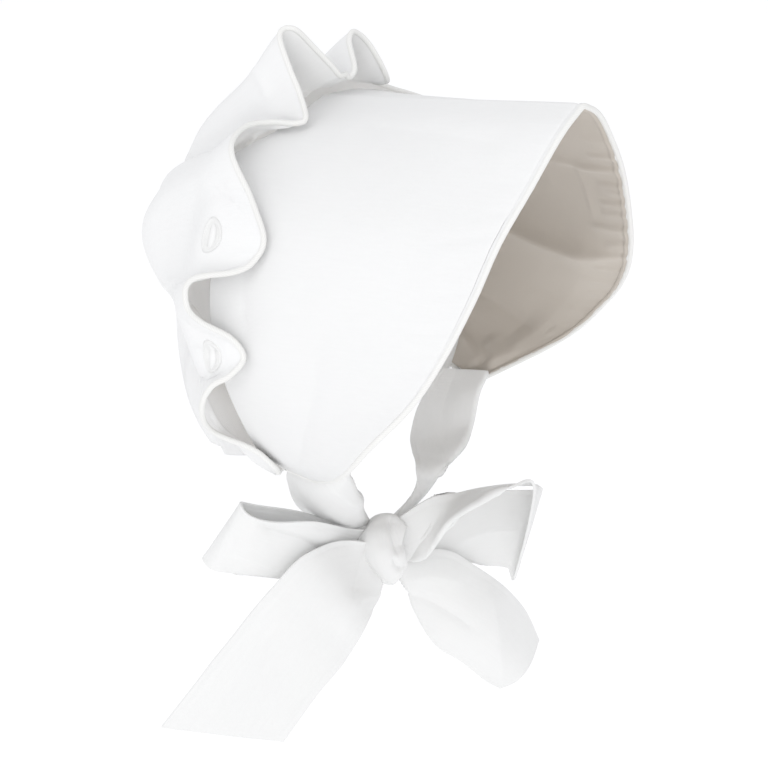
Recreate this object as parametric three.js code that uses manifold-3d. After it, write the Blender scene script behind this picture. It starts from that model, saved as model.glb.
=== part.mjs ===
// A toddler's cotton sunbonnet: stiff brim, buttoned-on crown with a wavy piped edge, chin ties in a bow.
// Millimetres, +Z up, face opening towards -Y. The origin is where the top of the head touches inside.
import * as THREE from "three";
import { mergeVertices } from "three/addons/utils/BufferGeometryUtils.js";
import Module from "manifold-3d";

// Driving dimensions
const brimThickness = 1.8;
const crownThickness = 1.4;
const tieThickness = 1.4;
const pipingRadius = 1.2;
const gap = 0.35; // clearance between pieces that are sewn together
const edgeInset = pipingRadius + 3 * gap; // from a piped edge in to the edge of its wall
const seamHalfWidth = 93; // widest half of the seam arch, at ear height
const seamHeight = 150; // seam top down to the lower corners
const buttonHalfLength = 7.5; // upright ovals
const buttonHalfWidth = 4.5;
const buttonHeight = 2;
const knotRadii = new THREE.Vector3(14, 12, 17.5);
const knotCentre = new THREE.Vector3(-3, -14, -217);
const napeGathers = 9; // pleats along the nape hem
const napeGatherDepth = 1.5;
const gathersFrom = 0.7; // they begin this far back along a rib
const taperBend = 0.6; // under 1: a rib's taper sets in close below its top
const settledAt = 0.35; // here a rib has left the seam line and follows the round of the head
const overBrim = 4.2; // the crown's middle surface stays this far outside the brim's
const clearBehind = 22; // and comes in again over this distance behind the brim's back edge
const liftBend = 1.5; // over 1: a wave's lift drops quickly behind the edge
const leftRuffle = 0.7; // the ruffle on the left side lies this much flatter
const leftForward = 0.8; // and reaches less far over the brim
const leftFlatTo = 0.4; // down to here along the seam its waves hardly lift
const leftFullFrom = 0.5; // and from here on they stand at their full height
const crownMiddle = new THREE.Vector3(0, -10, -90); // the puffs stand straight out from here
const bellyWay = new THREE.Vector3(-0.64, -0.77, 0); // the way in which the ties' middles bow out
const knotWraps = 3; // soft wraps around the knot
const knotSlant = 4; // how far each leans from the knot's foot to its top, in radians to either side
const knotPress = 0.06; // and how deep it is, as a share of the knot's size

// Mesh fineness
const brimColumns = 40;
const brimRowsAcross = 8;
const crownColumns = 96;
const crownRowsAcross = 10;
const tieColumns = 5;
const pipingSides = 5;
const brimPipingSteps = 64;
const crownPipingSteps = 150;
const buttonSides = 12;
const slopeStep = 0.001; // as a share of a surface, to measure its slope
const rulingStep = 0.01; // the same for the slope of an edge
const leastSquareness = 0.28;
const mergeDistance = 1e-4;
const levelCrown = 0.5; // under this slope a button lies along the crown's edge

function table(names, rows) {
  return rows.map((row) => Object.fromEntries(names.map((name, i) => [name, row[i]])));
}

// The brim from its ridge (at 0) down to a tip (at 1): its seam edge and its front edge, for both halves.
const brimTable = table(
  ["at", "seamX", "seamY", "seamZ", "frontX", "frontY", "frontZ"],
  [
    [0.0, 0, 0, 0, 0, -136, 15],
    [0.1, 22, 0, -4, 13, -134, 7],
    [0.22, 50, 0, -15, 30, -129, -12],
    [0.34, 74, -2, -31, 45, -123, -31],
    [0.46, 88, -4, -52, 57, -117, -53],
    [0.58, 93, -6, -75, 69, -109, -75],
    [0.7, 91, -8, -97, 79, -98, -95],
    [0.8, 84, -9, -118, 87, -82, -113],
    [0.9, 75, -9, -136, 82, -60, -134],
    [1.0, 62, -10, -150, 58, -24, -155],
  ],
);

// The crown's wavy edge on the right side, from its lower end to the top: the place along the seam, how far
// it lies forward over the brim and stands off it, and where along the rib the wave has faded out.
const ruffleRight = table(
  ["at", "forward", "lift", "fade"],
  [
    [0.96, 5, 3.4, 0.5],
    [0.914, 10, 3.4, 0.45],
    [0.86, 4, 5, 0.4],
    [0.8, -9, 10, 0.35],
    [0.72, -4, 15, 0.3],
    [0.68, 1, 11, 0.3],
    [0.66, 9, 7, 0.3],
    [0.62, 16, 4.5, 0.3],
    [0.575, 12, 6, 0.3],
    [0.535, 2, 14, 0.3],
    [0.5, 0, 22, 0.35],
    [0.465, 1, 20, 0.35],
    [0.445, 15, 9, 0.3],
    [0.42, 21, 5, 0.4],
    [0.375, 23, 4.5, 0.5],
    [0.31, 13, 8, 0.6],
    [0.25, 0, 17, 0.62],
    [0.19, -4, 14, 0.62],
    [0.15, 0, 8, 0.6],
    [0.14, 10, 6, 0.6],
    [0.125, 13, 6, 0.6],
    [0.112, 11.5, 16, 0.6],
    [0.1, 8, 25.2, 0.62],
    [0.082, 2.5, 34.6, 0.62],
    [0.072, 0.8, 37.7, 0.62],
    [0.061, 1.5, 38.7, 0.62],
    [0.05, 4.7, 36.6, 0.62],
    [0.03, 7.2, 27, 0.62],
    [0.012, 11, 16.5, 0.62],
    [0.0, 12.3, 10, 0.62],
  ],
);
// The first two waves past the top button, on the left side.
const ruffleLeftTop = table(
  ["at", "forward", "lift", "fade"],
  [
    [0.012, 12, 8.3, 0.62],
    [0.025, 12.6, 10, 0.62],
    [0.035, 11.5, 13.3, 0.62],
    [0.045, 8.4, 17.9, 0.62],
    [0.055, 5.3, 22.8, 0.62],
    [0.07, 3.7, 26.2, 0.62],
    [0.085, 3.9, 25.1, 0.62],
    [0.1, 6, 20.5, 0.62],
    [0.115, 9.5, 13, 0.62],
    [0.128, 11.5, 6.5, 0.62],
    [0.14, 8, 5, 0.62],
    [0.15, 0, 4, 0.62],
    [0.18, -7, 3.5, 0.62],
    [0.22, -12, 3, 0.62],
    [0.27, -13, 2.5, 0.62],
    [0.33, -2, 3.5, 0.6],
  ],
);
const mirrorFrom = 0.36; // from here down the left side repeats the right one

// The crown's ribs from the seam (at 0) to the nape hem (at 1): each is the seam arch, scaled and swung
// back about a hinge line through the lower corners, and narrower by the taper at its foot.
const ribTable = table(
  ["at", "halfWidth", "reach", "angle", "hingeY", "hingeZ", "taper"],
  [
    [0.0, 93, 150, 2, -10, -150, 0.0],
    [0.15, 96, 141, 11.5, -8, -150, 0.11],
    [0.35, 94, 133, 29, -4, -150, 0.37],
    [0.6, 73, 100, 44, 2, -149, 0.6],
    [0.8, 68, 75, 60, 7, -151, 0.41],
    [1.0, 57, 43, 82, 11, -157, 0.15],
  ],
);

// Where the gathered crown puffs out or sinks in, on both sides: the middle along the seam and back along
// the rib, how far it spreads both ways, and its height.
const billowTable = table(
  ["seam", "back", "seamSpread", "backSpread", "height"],
  [
    [0.14, 0.42, 0.05, 0.13, 7],
    [0.28, 0.45, 0.09, 0.13, 9],
    [0.49, 0.45, 0.06, 0.16, -8],
    [0.59, 0.71, 0.12, 0.2, 4],
  ],
);

// Buttons: the place along the seam, right side negative, and how far back from the edge on the crown.
const buttonTable = table(
  ["at", "back"],
  [
    [-0.61, 0.1],
    [-0.37, 0.13],
    [0.0, 0.22],
    [0.37, 0.13],
    [0.61, 0.1],
  ],
);

// Each tie piece is a band between two edges, a and b, with belly for how far its middle bows out.
const bandNames = ["at", "ax", "ay", "az", "bx", "by", "bz", "belly"];
const strapRightTable = table(bandNames, [
  [0.0, -60, -8, -146, -64, -46, -141, 0],
  [0.12, -54, -5, -153, -57, -42, -148, 1],
  [0.35, -46, 3, -166, -44, -30, -160, 3],
  [0.6, -34, 9, -186, -21, -12, -184, 4],
  [0.8, -19, 7, -202, -12, -7, -196, 3],
  [1.0, -2, 0, -216, 2, -3, -211, 1],
]);
const strapLeftTable = table(bandNames, [
  [0.0, 57, -8, -150, 59, -33, -147, 0],
  [0.12, 50, -1, -163, 54, -31, -154, 1],
  [0.35, 41, 1, -178, 48, -29, -171, 3],
  [0.6, 32, -6, -184, 36, -29, -180, 4],
  [0.75, 24, -14, -187, 27, -26, -188, 3],
  [0.88, 20, -15, -197, 24, -20, -197, 1],
  [1.0, 3, -10, -210, 7, -12, -210, 0],
]);
const loopRightTable = table(bandNames, [
  [0.0, 5, -17, -203, 3, -17, -227, 0],
  [0.1, 16, -28, -195, 8, -28, -222, 0],
  [0.2, 27, -35, -196, 12, -39, -204, 0],
  [0.3, 39, -42, -197, 18, -51, -193, 0],
  [0.4, 52, -50, -199, 31, -61, -189, 0],
  [0.47, 61, -56, -202, 46, -64, -202, 0],
  [0.5, 63, -57, -204, 50, -49, -244, 0],
  [0.55, 63, -52, -206, 49, -44, -243, 0],
  [0.65, 53, -40, -205, 41, -34, -240, 0],
  [0.8, 38, -28, -205, 31, -25, -233, 0],
  [1.0, 6, -10, -210, 6, -10, -226, 0],
]);
const loopLeftTable = table(bandNames, [
  [0.0, -5, -13, -206, -6, -13, -220, 0],
  [0.1, -17, -5, -202, -19, -6, -219, 0],
  [0.2, -46, -10, -184, -48, -9, -211, 0],
  [0.3, -66, -3, -177, -68, 0, -204, 0],
  [0.4, -74, 4, -171, -81, 10, -199, 0],
  [0.47, -72, 9, -168, -88, 18, -195, 0],
  [0.5, -68, 12, -170, -86, 23, -193, 0],
  [0.56, -61, 10, -174, -76, 21, -200, 0],
  [0.7, -40, 3, -185, -52, 11, -211, 0],
  [0.85, -23, -2, -197, -30, 1, -218, 0],
  [1.0, 0, -8, -213, 0, -7, -221, 0],
]);
const tailLeftTable = table(bandNames, [
  [0.0, -4, -16, -214, -2, -16, -225, 0],
  [0.1, -25, -11, -203, -12, -15, -236, 1],
  [0.25, -54, -13, -195, -28, -19, -243, 2],
  [0.45, -75, -7, -205, -38, -14, -257, 2],
  [0.7, -93, 9, -230, -50, -6, -271, 1],
  [1.0, -115, 33, -268, -65, 6, -294, 0],
]);
const tailRightTable = table(bandNames, [
  [0.0, 5, -14, -224, 3, -14, -229, 0],
  [0.15, 22, -24, -226, 7, -19, -251, 3],
  [0.4, 35, -36, -238, 11, -27, -270, 3],
  [0.65, 48, -44, -256, 21, -36, -283, 4],
  [0.85, 57, -47, -271, 32, -40, -297, 5],
  [1.0, 63, -49, -288, 38, -43, -304, 5],
]);

const wasm = await Module();
wasm.setup();

const cottonWhite = new THREE.MeshStandardMaterial({ color: 0xf4f3f1, roughness: 0.85, metalness: 0 });
const pipingWhite = new THREE.MeshStandardMaterial({ color: 0xefede8, roughness: 0.8, metalness: 0 });
const tieWhite = new THREE.MeshStandardMaterial({ color: 0xf1f0ee, roughness: 0.85, metalness: 0 });
const buttonWhite = new THREE.MeshStandardMaterial({ color: 0xf2f1ef, roughness: 0.6, metalness: 0 });

// A smooth curve through one column of a table, read at x.
function readColumn(rows, name, x) {
  const last = rows.length - 1;
  const t = THREE.MathUtils.clamp(x, rows[0].at, rows[last].at);
  let i = 0;
  while (i < last - 1 && rows[i + 1].at <= t) i += 1;
  const slope = (j) => (rows[j + 1][name] - rows[j][name]) / (rows[j + 1].at - rows[j].at);
  const span = (j) => rows[j + 1].at - rows[j].at;
  const tangent = (j) => {
    if (j === 0) return slope(0);
    if (j === last) return slope(last - 1);
    return (slope(j - 1) * span(j) + slope(j) * span(j - 1)) / (span(j) + span(j - 1));
  };
  const h = span(i);
  const u = (t - rows[i].at) / h;
  const start = rows[i][name] * (1 + 2 * u) + tangent(i) * h * u;
  const end = rows[i + 1][name] * (3 - 2 * u) + tangent(i + 1) * h * (u - 1);
  return start * (1 - u) ** 2 + end * u ** 2;
}

function readPoint(rows, prefix, x) {
  return new THREE.Vector3(...["X", "Y", "Z"].map((axis) => readColumn(rows, prefix + axis, x)));
}

// The brim's middle surface: along runs from -1 (right tip) to 1 (left tip), across from seam 0 to front 1.
function brimPoint(along, across) {
  const at = Math.abs(along);
  const point = readPoint(brimTable, "seam", at).lerp(readPoint(brimTable, "front", at), across);
  point.x *= Math.sign(along);
  return point;
}

// The forward and outward directions of the brim at a place on the seam.
function seamFrame(along) {
  const side = along < 0 ? -1 : 1;
  const step = slopeStep;
  const at = side * THREE.MathUtils.clamp(Math.abs(along), step, 1 - step);
  const origin = brimPoint(at, 0);
  const forward = brimPoint(at, 1).sub(origin).normalize();
  const tangent = brimPoint(at + step, 0).sub(brimPoint(at - step, 0));
  const outward = new THREE.Vector3().crossVectors(forward, tangent).normalize();
  return { origin, forward, outward };
}

const signed = (side) => (row) => ({ ...row, at: side * row.at });
function leftWave(row) {
  const share = leftRuffle * THREE.MathUtils.smoothstep(row.at, leftFlatTo, leftFullFrom);
  return { ...row, forward: row.forward * leftForward, lift: overBrim + (row.lift - overBrim) * share };
}
const ruffleLeftSide = ruffleRight
  .filter((row) => row.at > mirrorFrom)
  .reverse()
  .map(leftWave);
const ruffle = [...ruffleRight.map(signed(-1)), ...ruffleLeftTop, ...ruffleLeftSide].map((row, i) => ({
  ...row,
  at: i,
  seam: row.at,
}));
const ruffleEnd = ruffle.length - 1;

// One rib of the crown without its waves.
function ribPoint(seamPoint, back) {
  const read = (name) => readColumn(ribTable, name, back);
  const height = (seamPoint.z + seamHeight) / seamHeight;
  const angle = THREE.MathUtils.degToRad(read("angle"));
  return new THREE.Vector3(
    (read("halfWidth") * (1 - read("taper") * (1 - height) ** taperBend) * seamPoint.x) / seamHalfWidth,
    read("hingeY") + read("reach") * height * Math.sin(angle),
    read("hingeZ") + read("reach") * height * Math.cos(angle),
  );
}

function billowHeight(seam, back) {
  return billowTable.reduce((sum, billow) => {
    const along = (seam - billow.seam) / billow.seamSpread;
    const across = (back - billow.back) / billow.backSpread;
    return sum + billow.height * Math.exp(-(along ** 2) - across ** 2);
  }, 0);
}

// The crown's middle surface: wave counts the ruffle's rows, back runs from its edge 0 to the nape hem 1.
function crownPoint(wave, back) {
  const seam = readColumn(ruffle, "seam", wave);
  const { origin, forward, outward } = seamFrame(seam);
  const share = Math.max(1 - back / readColumn(ruffle, "fade", wave), 0) ** liftBend;
  const lift = overBrim + (readColumn(ruffle, "lift", wave) - overBrim) * share;
  const waves = outward
    .clone()
    .multiplyScalar(lift)
    .addScaledVector(forward, readColumn(ruffle, "forward", wave) * share);
  const settle = 1 - THREE.MathUtils.smoothstep(back, 0, settledAt);
  const start = origin.clone().sub(ribPoint(origin, 0)).multiplyScalar(settle);
  const gather = napeGatherDepth * THREE.MathUtils.smoothstep(back, gathersFrom, 1);
  const pleat = new THREE.Vector3(origin.x / seamHalfWidth, 1, 0).multiplyScalar(
    gather * Math.cos(napeGathers * Math.PI * seam),
  );
  const point = ribPoint(origin, back).add(waves).add(start).add(pleat);
  const outOfMiddle = point.clone().sub(crownMiddle).normalize();
  point.addScaledVector(outOfMiddle, billowHeight(Math.abs(seam), back));
  const fromSeam = point.clone().sub(origin);
  const over = THREE.MathUtils.smoothstep(fromSeam.dot(forward), -clearBehind, -edgeInset);
  return point.addScaledVector(outward, over * Math.max(overBrim - fromSeam.dot(outward), 0));
}

// A closed wall of even thickness on both sides of a surface given over the unit square.
function wall(surface, columns, rows, thickness) {
  const positions = [];
  const index = [];
  const layer = (columns + 1) * (rows + 1);
  const derivative = (f, x) => {
    const low = Math.max(x - slopeStep, 0);
    const high = Math.min(x + slopeStep, 1);
    return f(high).sub(f(low));
  };
  const middle = [];
  const normals = [];
  for (let j = 0; j <= rows; j += 1)
    for (let i = 0; i <= columns; i += 1) {
      const u = i / columns;
      const v = j / rows;
      const du = derivative((x) => surface(x, v), u);
      const dv = derivative((x) => surface(u, x), v);
      middle.push(surface(u, v));
      normals.push(du.cross(dv).normalize());
    }
  for (const side of [1, -1])
    middle.forEach((point, i) => {
      const p = point.clone().addScaledVector(normals[i], (side * thickness) / 2);
      positions.push(p.x, p.y, p.z);
    });
  const at = (i, j) => j * (columns + 1) + i;
  const quad = (a, b, c, d) => index.push(a, b, c, a, c, d);
  for (let j = 0; j < rows; j += 1)
    for (let i = 0; i < columns; i += 1) {
      quad(at(i, j), at(i + 1, j), at(i + 1, j + 1), at(i, j + 1));
      quad(layer + at(i, j), layer + at(i, j + 1), layer + at(i + 1, j + 1), layer + at(i + 1, j));
    }
  const rim = (a, b) => quad(b, a, layer + a, layer + b);
  for (let i = 0; i < columns; i += 1) {
    rim(at(i, 0), at(i + 1, 0));
    rim(at(i + 1, rows), at(i, rows));
  }
  for (let j = 0; j < rows; j += 1) {
    rim(at(columns, j), at(columns, j + 1));
    rim(at(0, j + 1), at(0, j));
  }
  const geometry = new THREE.BufferGeometry();
  geometry.setAttribute("position", new THREE.Float32BufferAttribute(positions, 3));
  geometry.setIndex(index);
  return geometry;
}

// A cord along a smooth curve through the points.
function cord(points, radius, steps) {
  const corners = [];
  for (let i = 0; i < pipingSides; i += 1) {
    const turn = (2 * Math.PI * i) / pipingSides;
    corners.push(new THREE.Vector2(radius * Math.cos(turn), radius * Math.sin(turn)));
  }
  const extrudePath = new THREE.CatmullRomCurve3(points, false, "centripetal");
  return new THREE.ExtrudeGeometry(new THREE.Shape(corners), { steps, extrudePath });
}

function toSolid(geometry) {
  const bare = geometry.clone();
  bare.deleteAttribute("normal");
  bare.deleteAttribute("uv");
  const merged = mergeVertices(bare, mergeDistance);
  return new wasm.Manifold(
    new wasm.Mesh({
      numProp: 3,
      vertProperties: new Float32Array(merged.attributes.position.array),
      triVerts: new Uint32Array(merged.index.array),
    }),
  );
}

function toGeometry(solid) {
  const mesh = solid.getMesh();
  const geometry = new THREE.BufferGeometry();
  geometry.setAttribute("position", new THREE.BufferAttribute(mesh.vertProperties, 3));
  geometry.setIndex(new THREE.BufferAttribute(mesh.triVerts, 1));
  return geometry;
}

const bonnet = new THREE.Group();
function addPiece(name, geometry, material) {
  const mesh = new THREE.Mesh(geometry, material);
  mesh.name = name;
  geometry.computeVertexNormals();
  bonnet.add(mesh);
  return mesh;
}

// Brim: the wall stops short of its front edge and tips, which the piping follows.
const tipInset = 0.016;
// The share of a ruling that lies within the inset of an edge, however obliquely it meets the edge.
function insetShare(along, across, far, pointAt) {
  const ruling = pointAt(along, far).sub(pointAt(along, across));
  const edge = pointAt(along + rulingStep, across).sub(pointAt(along - rulingStep, across)).normalize();
  const square = ruling.clone().cross(edge).length();
  return edgeInset / Math.max(square, ruling.length() * leastSquareness);
}
function brimSurface(u, v) {
  const along = (2 * u - 1) * (1 - tipInset);
  return brimPoint(along, v * (1 - insetShare(along, 1, 0, brimPoint)));
}
addPiece("brim", wall(brimSurface, brimColumns, brimRowsAcross, brimThickness), cottonWhite);

const outlineStep = 0.04;
const brimOutline = [brimPoint(1, 0), brimPoint(1, 1)];
for (let along = 1 - outlineStep; along > -1; along -= outlineStep)
  brimOutline.push(brimPoint(along, 1));
brimOutline.push(brimPoint(-1, 1), brimPoint(-1, 0));
addPiece("brim_piping", cord(brimOutline, pipingRadius, brimPipingSteps), pipingWhite);

// Crown and the piping on its wavy edge.
const hemRoom = 0.05; // a short way back along a rib, to measure the ribs' spacing
function crownSurface(u, v) {
  const wave = u * ruffleEnd;
  const inset = hemRoom * insetShare(wave, 0, hemRoom, crownPoint);
  return crownPoint(wave, inset + v * (1 - inset));
}
addPiece("crown", wall(crownSurface, crownColumns, crownRowsAcross, crownThickness), cottonWhite);

const crownEdge = [];
for (let wave = 0; wave <= ruffleEnd; wave += 0.5) crownEdge.push(crownPoint(wave, 0));
addPiece("crown_piping", cord(crownEdge, pipingRadius, crownPipingSteps), pipingWhite);

// Buttons: a low upright oval with a rounded rim and a shallow dish, lying on the crown.
function buttonGeometry() {
  const r = buttonHalfLength;
  const h = buttonHeight;
  const profile = [
    [0, 0],
    [r * 0.9, 0],
    [r, h * 0.5],
    [r * 0.85, h],
    [r * 0.6, h * 0.8],
    [0, h * 0.75],
  ].map(([x, y]) => new THREE.Vector2(x, y));
  const disc = new THREE.LatheGeometry(profile, buttonSides).rotateX(Math.PI / 2);
  return disc.scale(buttonHalfWidth / buttonHalfLength, 1, 1);
}
function waveAtSeam(seam) {
  const step = 0.02;
  let wave = 0;
  while (wave < ruffleEnd && readColumn(ruffle, "seam", wave) < seam) wave += step;
  return wave;
}
const underButton = { wave: 4, waveStep: 0.2, back: 0.12, backStep: 0.02, margin: 1.2 };
// How far the crown rises above its tangent plane anywhere under a button and a little around it.
function highestUnder(wave, back, place, outward) {
  const { waveStep, backStep, margin } = underButton;
  let highest = 0;
  for (let along = wave - underButton.wave; along <= wave + underButton.wave; along += waveStep)
    for (let across = 0; across <= back + underButton.back; across += backStep) {
      const from = crownPoint(along, across).sub(place);
      const height = from.dot(outward);
      const under = from.lengthSq() - height ** 2 < (buttonHalfLength * margin) ** 2;
      if (under && height < buttonHalfLength) highest = Math.max(highest, height);
    }
  return highest;
}
// The steepest direction on the crown, or straight along its edge where the crown lies level.
function uprightOn(outward, across) {
  const upright = new THREE.Vector3(0, 0, 1).projectOnPlane(outward);
  const level = upright.length() < levelCrown;
  return (level ? across.clone() : upright).normalize();
}
buttonTable.forEach((row, i) => {
  const wave = waveAtSeam(row.at);
  const place = crownPoint(wave, row.back);
  const { waveStep, backStep } = underButton;
  const across = crownPoint(wave + waveStep, row.back).sub(crownPoint(wave - waveStep, row.back));
  const backward = crownPoint(wave, row.back + backStep).sub(crownPoint(wave, row.back - backStep));
  const outward = across.clone().cross(backward).normalize();
  const highest = highestUnder(wave, row.back, place, outward);
  const button = addPiece("button_" + (i + 1), buttonGeometry(), buttonWhite);
  const longWay = uprightOn(outward, across);
  const basis = new THREE.Matrix4().makeBasis(longWay.clone().cross(outward), longWay, outward);
  button.quaternion.setFromRotationMatrix(basis);
  button.position.copy(place).addScaledVector(outward, highest + crownThickness / 2 + 2 * gap);
});

// Knot: an upright lump, its skin pressed into soft wraps.
function knotGeometry(grow) {
  const geometry = new THREE.SphereGeometry(1, 18, 12);
  const position = geometry.attributes.position;
  const point = new THREE.Vector3();
  for (let i = 0; i < position.count; i += 1) {
    point.fromBufferAttribute(position, i);
    const turn = knotWraps * Math.atan2(point.y, point.x) + knotSlant * point.z;
    const press = 1 + knotPress * Math.cos(turn) * (1 - point.z ** 2);
    point.multiply(knotRadii.clone().addScalar(grow)).multiplyScalar(press).add(knotCentre);
    position.setXYZ(i, point.x, point.y, point.z);
  }
  return geometry;
}
addPiece("bow_knot", knotGeometry(0), tieWhite);
const knotRoom = toSolid(knotGeometry(gap));

// Bands of the ties, each cut where it enters the knot.
function bandSurface(rows) {
  return (u, v) => {
    const read = (name) => readColumn(rows, name, v);
    const a = new THREE.Vector3(read("ax"), read("ay"), read("az"));
    const b = new THREE.Vector3(read("bx"), read("by"), read("bz"));
    return a.lerp(b, u).addScaledVector(bellyWay, read("belly") * Math.sin(Math.PI * u));
  };
}
function addBand(name, rows, steps) {
  const solid = toSolid(wall(bandSurface(rows), tieColumns, steps, tieThickness)).subtract(knotRoom);
  const pieces = solid.decompose().sort((p, q) => q.volume() - p.volume());
  addPiece(name, toGeometry(pieces[0]), tieWhite);
}
addBand("strap_right", strapRightTable, 14);
addBand("strap_left", strapLeftTable, 14);
addBand("bow_loop_right", loopRightTable, 22);
addBand("bow_loop_left", loopLeftTable, 22);
addBand("tail_right", tailRightTable, 12);
addBand("tail_left", tailLeftTable, 12);

export default bonnet;
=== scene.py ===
import bisect
import functools
import math
import bpy
import bmesh
from mathutils import Matrix, Vector, noise


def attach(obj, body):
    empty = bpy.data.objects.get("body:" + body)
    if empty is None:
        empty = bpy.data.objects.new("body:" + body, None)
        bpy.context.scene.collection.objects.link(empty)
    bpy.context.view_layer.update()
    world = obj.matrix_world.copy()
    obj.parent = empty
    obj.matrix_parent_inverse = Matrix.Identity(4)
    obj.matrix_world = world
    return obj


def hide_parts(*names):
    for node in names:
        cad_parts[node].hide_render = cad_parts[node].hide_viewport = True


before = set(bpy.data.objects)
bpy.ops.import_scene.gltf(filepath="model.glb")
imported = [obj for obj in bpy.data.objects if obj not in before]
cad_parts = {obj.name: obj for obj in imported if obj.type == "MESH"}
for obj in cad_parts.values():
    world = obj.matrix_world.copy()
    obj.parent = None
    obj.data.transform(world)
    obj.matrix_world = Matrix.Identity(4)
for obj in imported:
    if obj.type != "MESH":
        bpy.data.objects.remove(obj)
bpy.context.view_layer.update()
mm = 0.001
print("frame loaded")

# camera and studio
camera = {
    "aim": Vector((0, -19, -133)) * mm,
    "azimuth": math.radians(-50),
    "elevation": math.radians(24),
    "roll": math.radians(5),
    "distance": 1.2,
    "lens": 125,
    "sensorWidth": 36,
}
studio = {
    "floorDrop": 0.75,  # from the head seat down to the floor
    "floorSize": 30,
    "floorTone": (0.96, 0.96, 0.96, 1),
    "floorRoughness": 0.9,
    "floorSpecular": 0.1,
    "floorGlow": 0.12,
    "skyTone": (0.98, 0.985, 1, 1),
    "skyStrength": 0.93,
}
lights = {  # azimuth, elevation, distance, size, power
    "keyLight": (-92, 38, 1.6, 0.9, 1.9),
    "topLight": (-60, 60, 1.6, 0.9, 2),
    "fillLight": (-50, 8, 1.8, 1.2, 5.4),
}


def lookingBack(azimuth, elevation):
    level = math.cos(elevation)
    return Vector((math.sin(azimuth) * level, -math.cos(azimuth) * level, math.sin(elevation)))


def addObject(name, data):
    item = bpy.data.objects.new(name, data)
    bpy.context.scene.collection.objects.link(item)
    return item


def placeCamera():
    data = bpy.data.cameras.new("camera")
    data.lens = camera["lens"]
    data.sensor_width = camera["sensorWidth"]
    back = lookingBack(camera["azimuth"], camera["elevation"])
    level = Vector((math.cos(camera["azimuth"]), math.sin(camera["azimuth"]), 0))
    right = Matrix.Rotation(-camera["roll"], 3, back) @ level
    turn = Matrix((right, back.cross(right), back)).transposed()
    item = addObject("camera", data)
    item.matrix_world = Matrix.Translation(camera["aim"] + back * camera["distance"]) @ turn.to_4x4()
    bpy.context.scene.camera = item


def addAreaLight(name, azimuth, elevation, distance, size, power):
    data = bpy.data.lights.new(name, "AREA")
    data.shape = "DISK"
    data.size = size
    data.energy = power
    back = lookingBack(math.radians(azimuth), math.radians(elevation))
    item = addObject(name, data)
    item.location = camera["aim"] + back * distance
    item.rotation_euler = back.to_track_quat("Z", "Y").to_euler()


def lightStudio():
    for name, settings in lights.items():
        addAreaLight(name, *settings)
    world = bpy.data.worlds.new("studio")
    world.use_nodes = True
    sky = world.node_tree.nodes["Background"]
    sky.inputs["Color"].default_value = studio["skyTone"]
    sky.inputs["Strength"].default_value = studio["skyStrength"]
    bpy.context.scene.world = world
    bpy.context.scene.view_settings.view_transform = "Standard"


placeCamera()
lightStudio()
print("camera and lights placed")

# cotton: plain weave, uneven yarn and the soft unevenness of washed cloth
cotton = {
    "roughness": 0.82,
    "specular": 0.25,
    "sheen": 0.2,
    "threadPitch": 0.6 * mm,
    "threadWaver": 0.6,
    "weaveDepth": 0.04 * mm,
    "yarnScale": 900,
    "yarnStretch": 0.08,
    "yarnTone": 0.03,
    "patchScale": 16,
    "crumpleScale": 60,
    "crumpleDepth": 0.5 * mm,
}
# thread: strands that slant round a cord
thread = {
    "roughness": 0.7,
    "specular": 0.3,
    "slant": math.radians(35),
    "waver": 0.4,
    "relief": 0.04 * mm,
}
pearl = {
    "roughness": 0.35,
    "specular": 0.5,
    "cloudScale": 180,
    "cloudSwirl": 1.5,
}


def addNode(tree, kind, settings=(), **values):
    node = tree.nodes.new(kind)
    for key, value in dict(settings).items():
        setattr(node, key, value)
    for key, value in values.items():
        node.inputs[key.replace("_", " ")].default_value = value
    return node


def mixTones(tree, blend, first, second, factor):
    node = addNode(tree, "ShaderNodeMix", {"data_type": "RGBA", "blend_type": blend})
    for socket, value in zip((node.inputs[0], node.inputs[6], node.inputs[7]), (factor, first, second)):
        if isinstance(value, bpy.types.NodeSocket):
            tree.links.new(value, socket)
        else:
            socket.default_value = value
    return node.outputs[2]


def startMaterial(name, roughness, specular):
    material = bpy.data.materials.new(name)
    material.use_nodes = True
    tree = material.node_tree
    shader = tree.nodes["Principled BSDF"]
    shader.inputs["Roughness"].default_value = roughness
    shader.inputs["Specular IOR Level"].default_value = specular
    return material, tree, shader


# a wave texture repeats every pi / 10 of its own scale
def bandsPerMetre(pitch):
    return math.pi / (10 * pitch)


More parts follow.
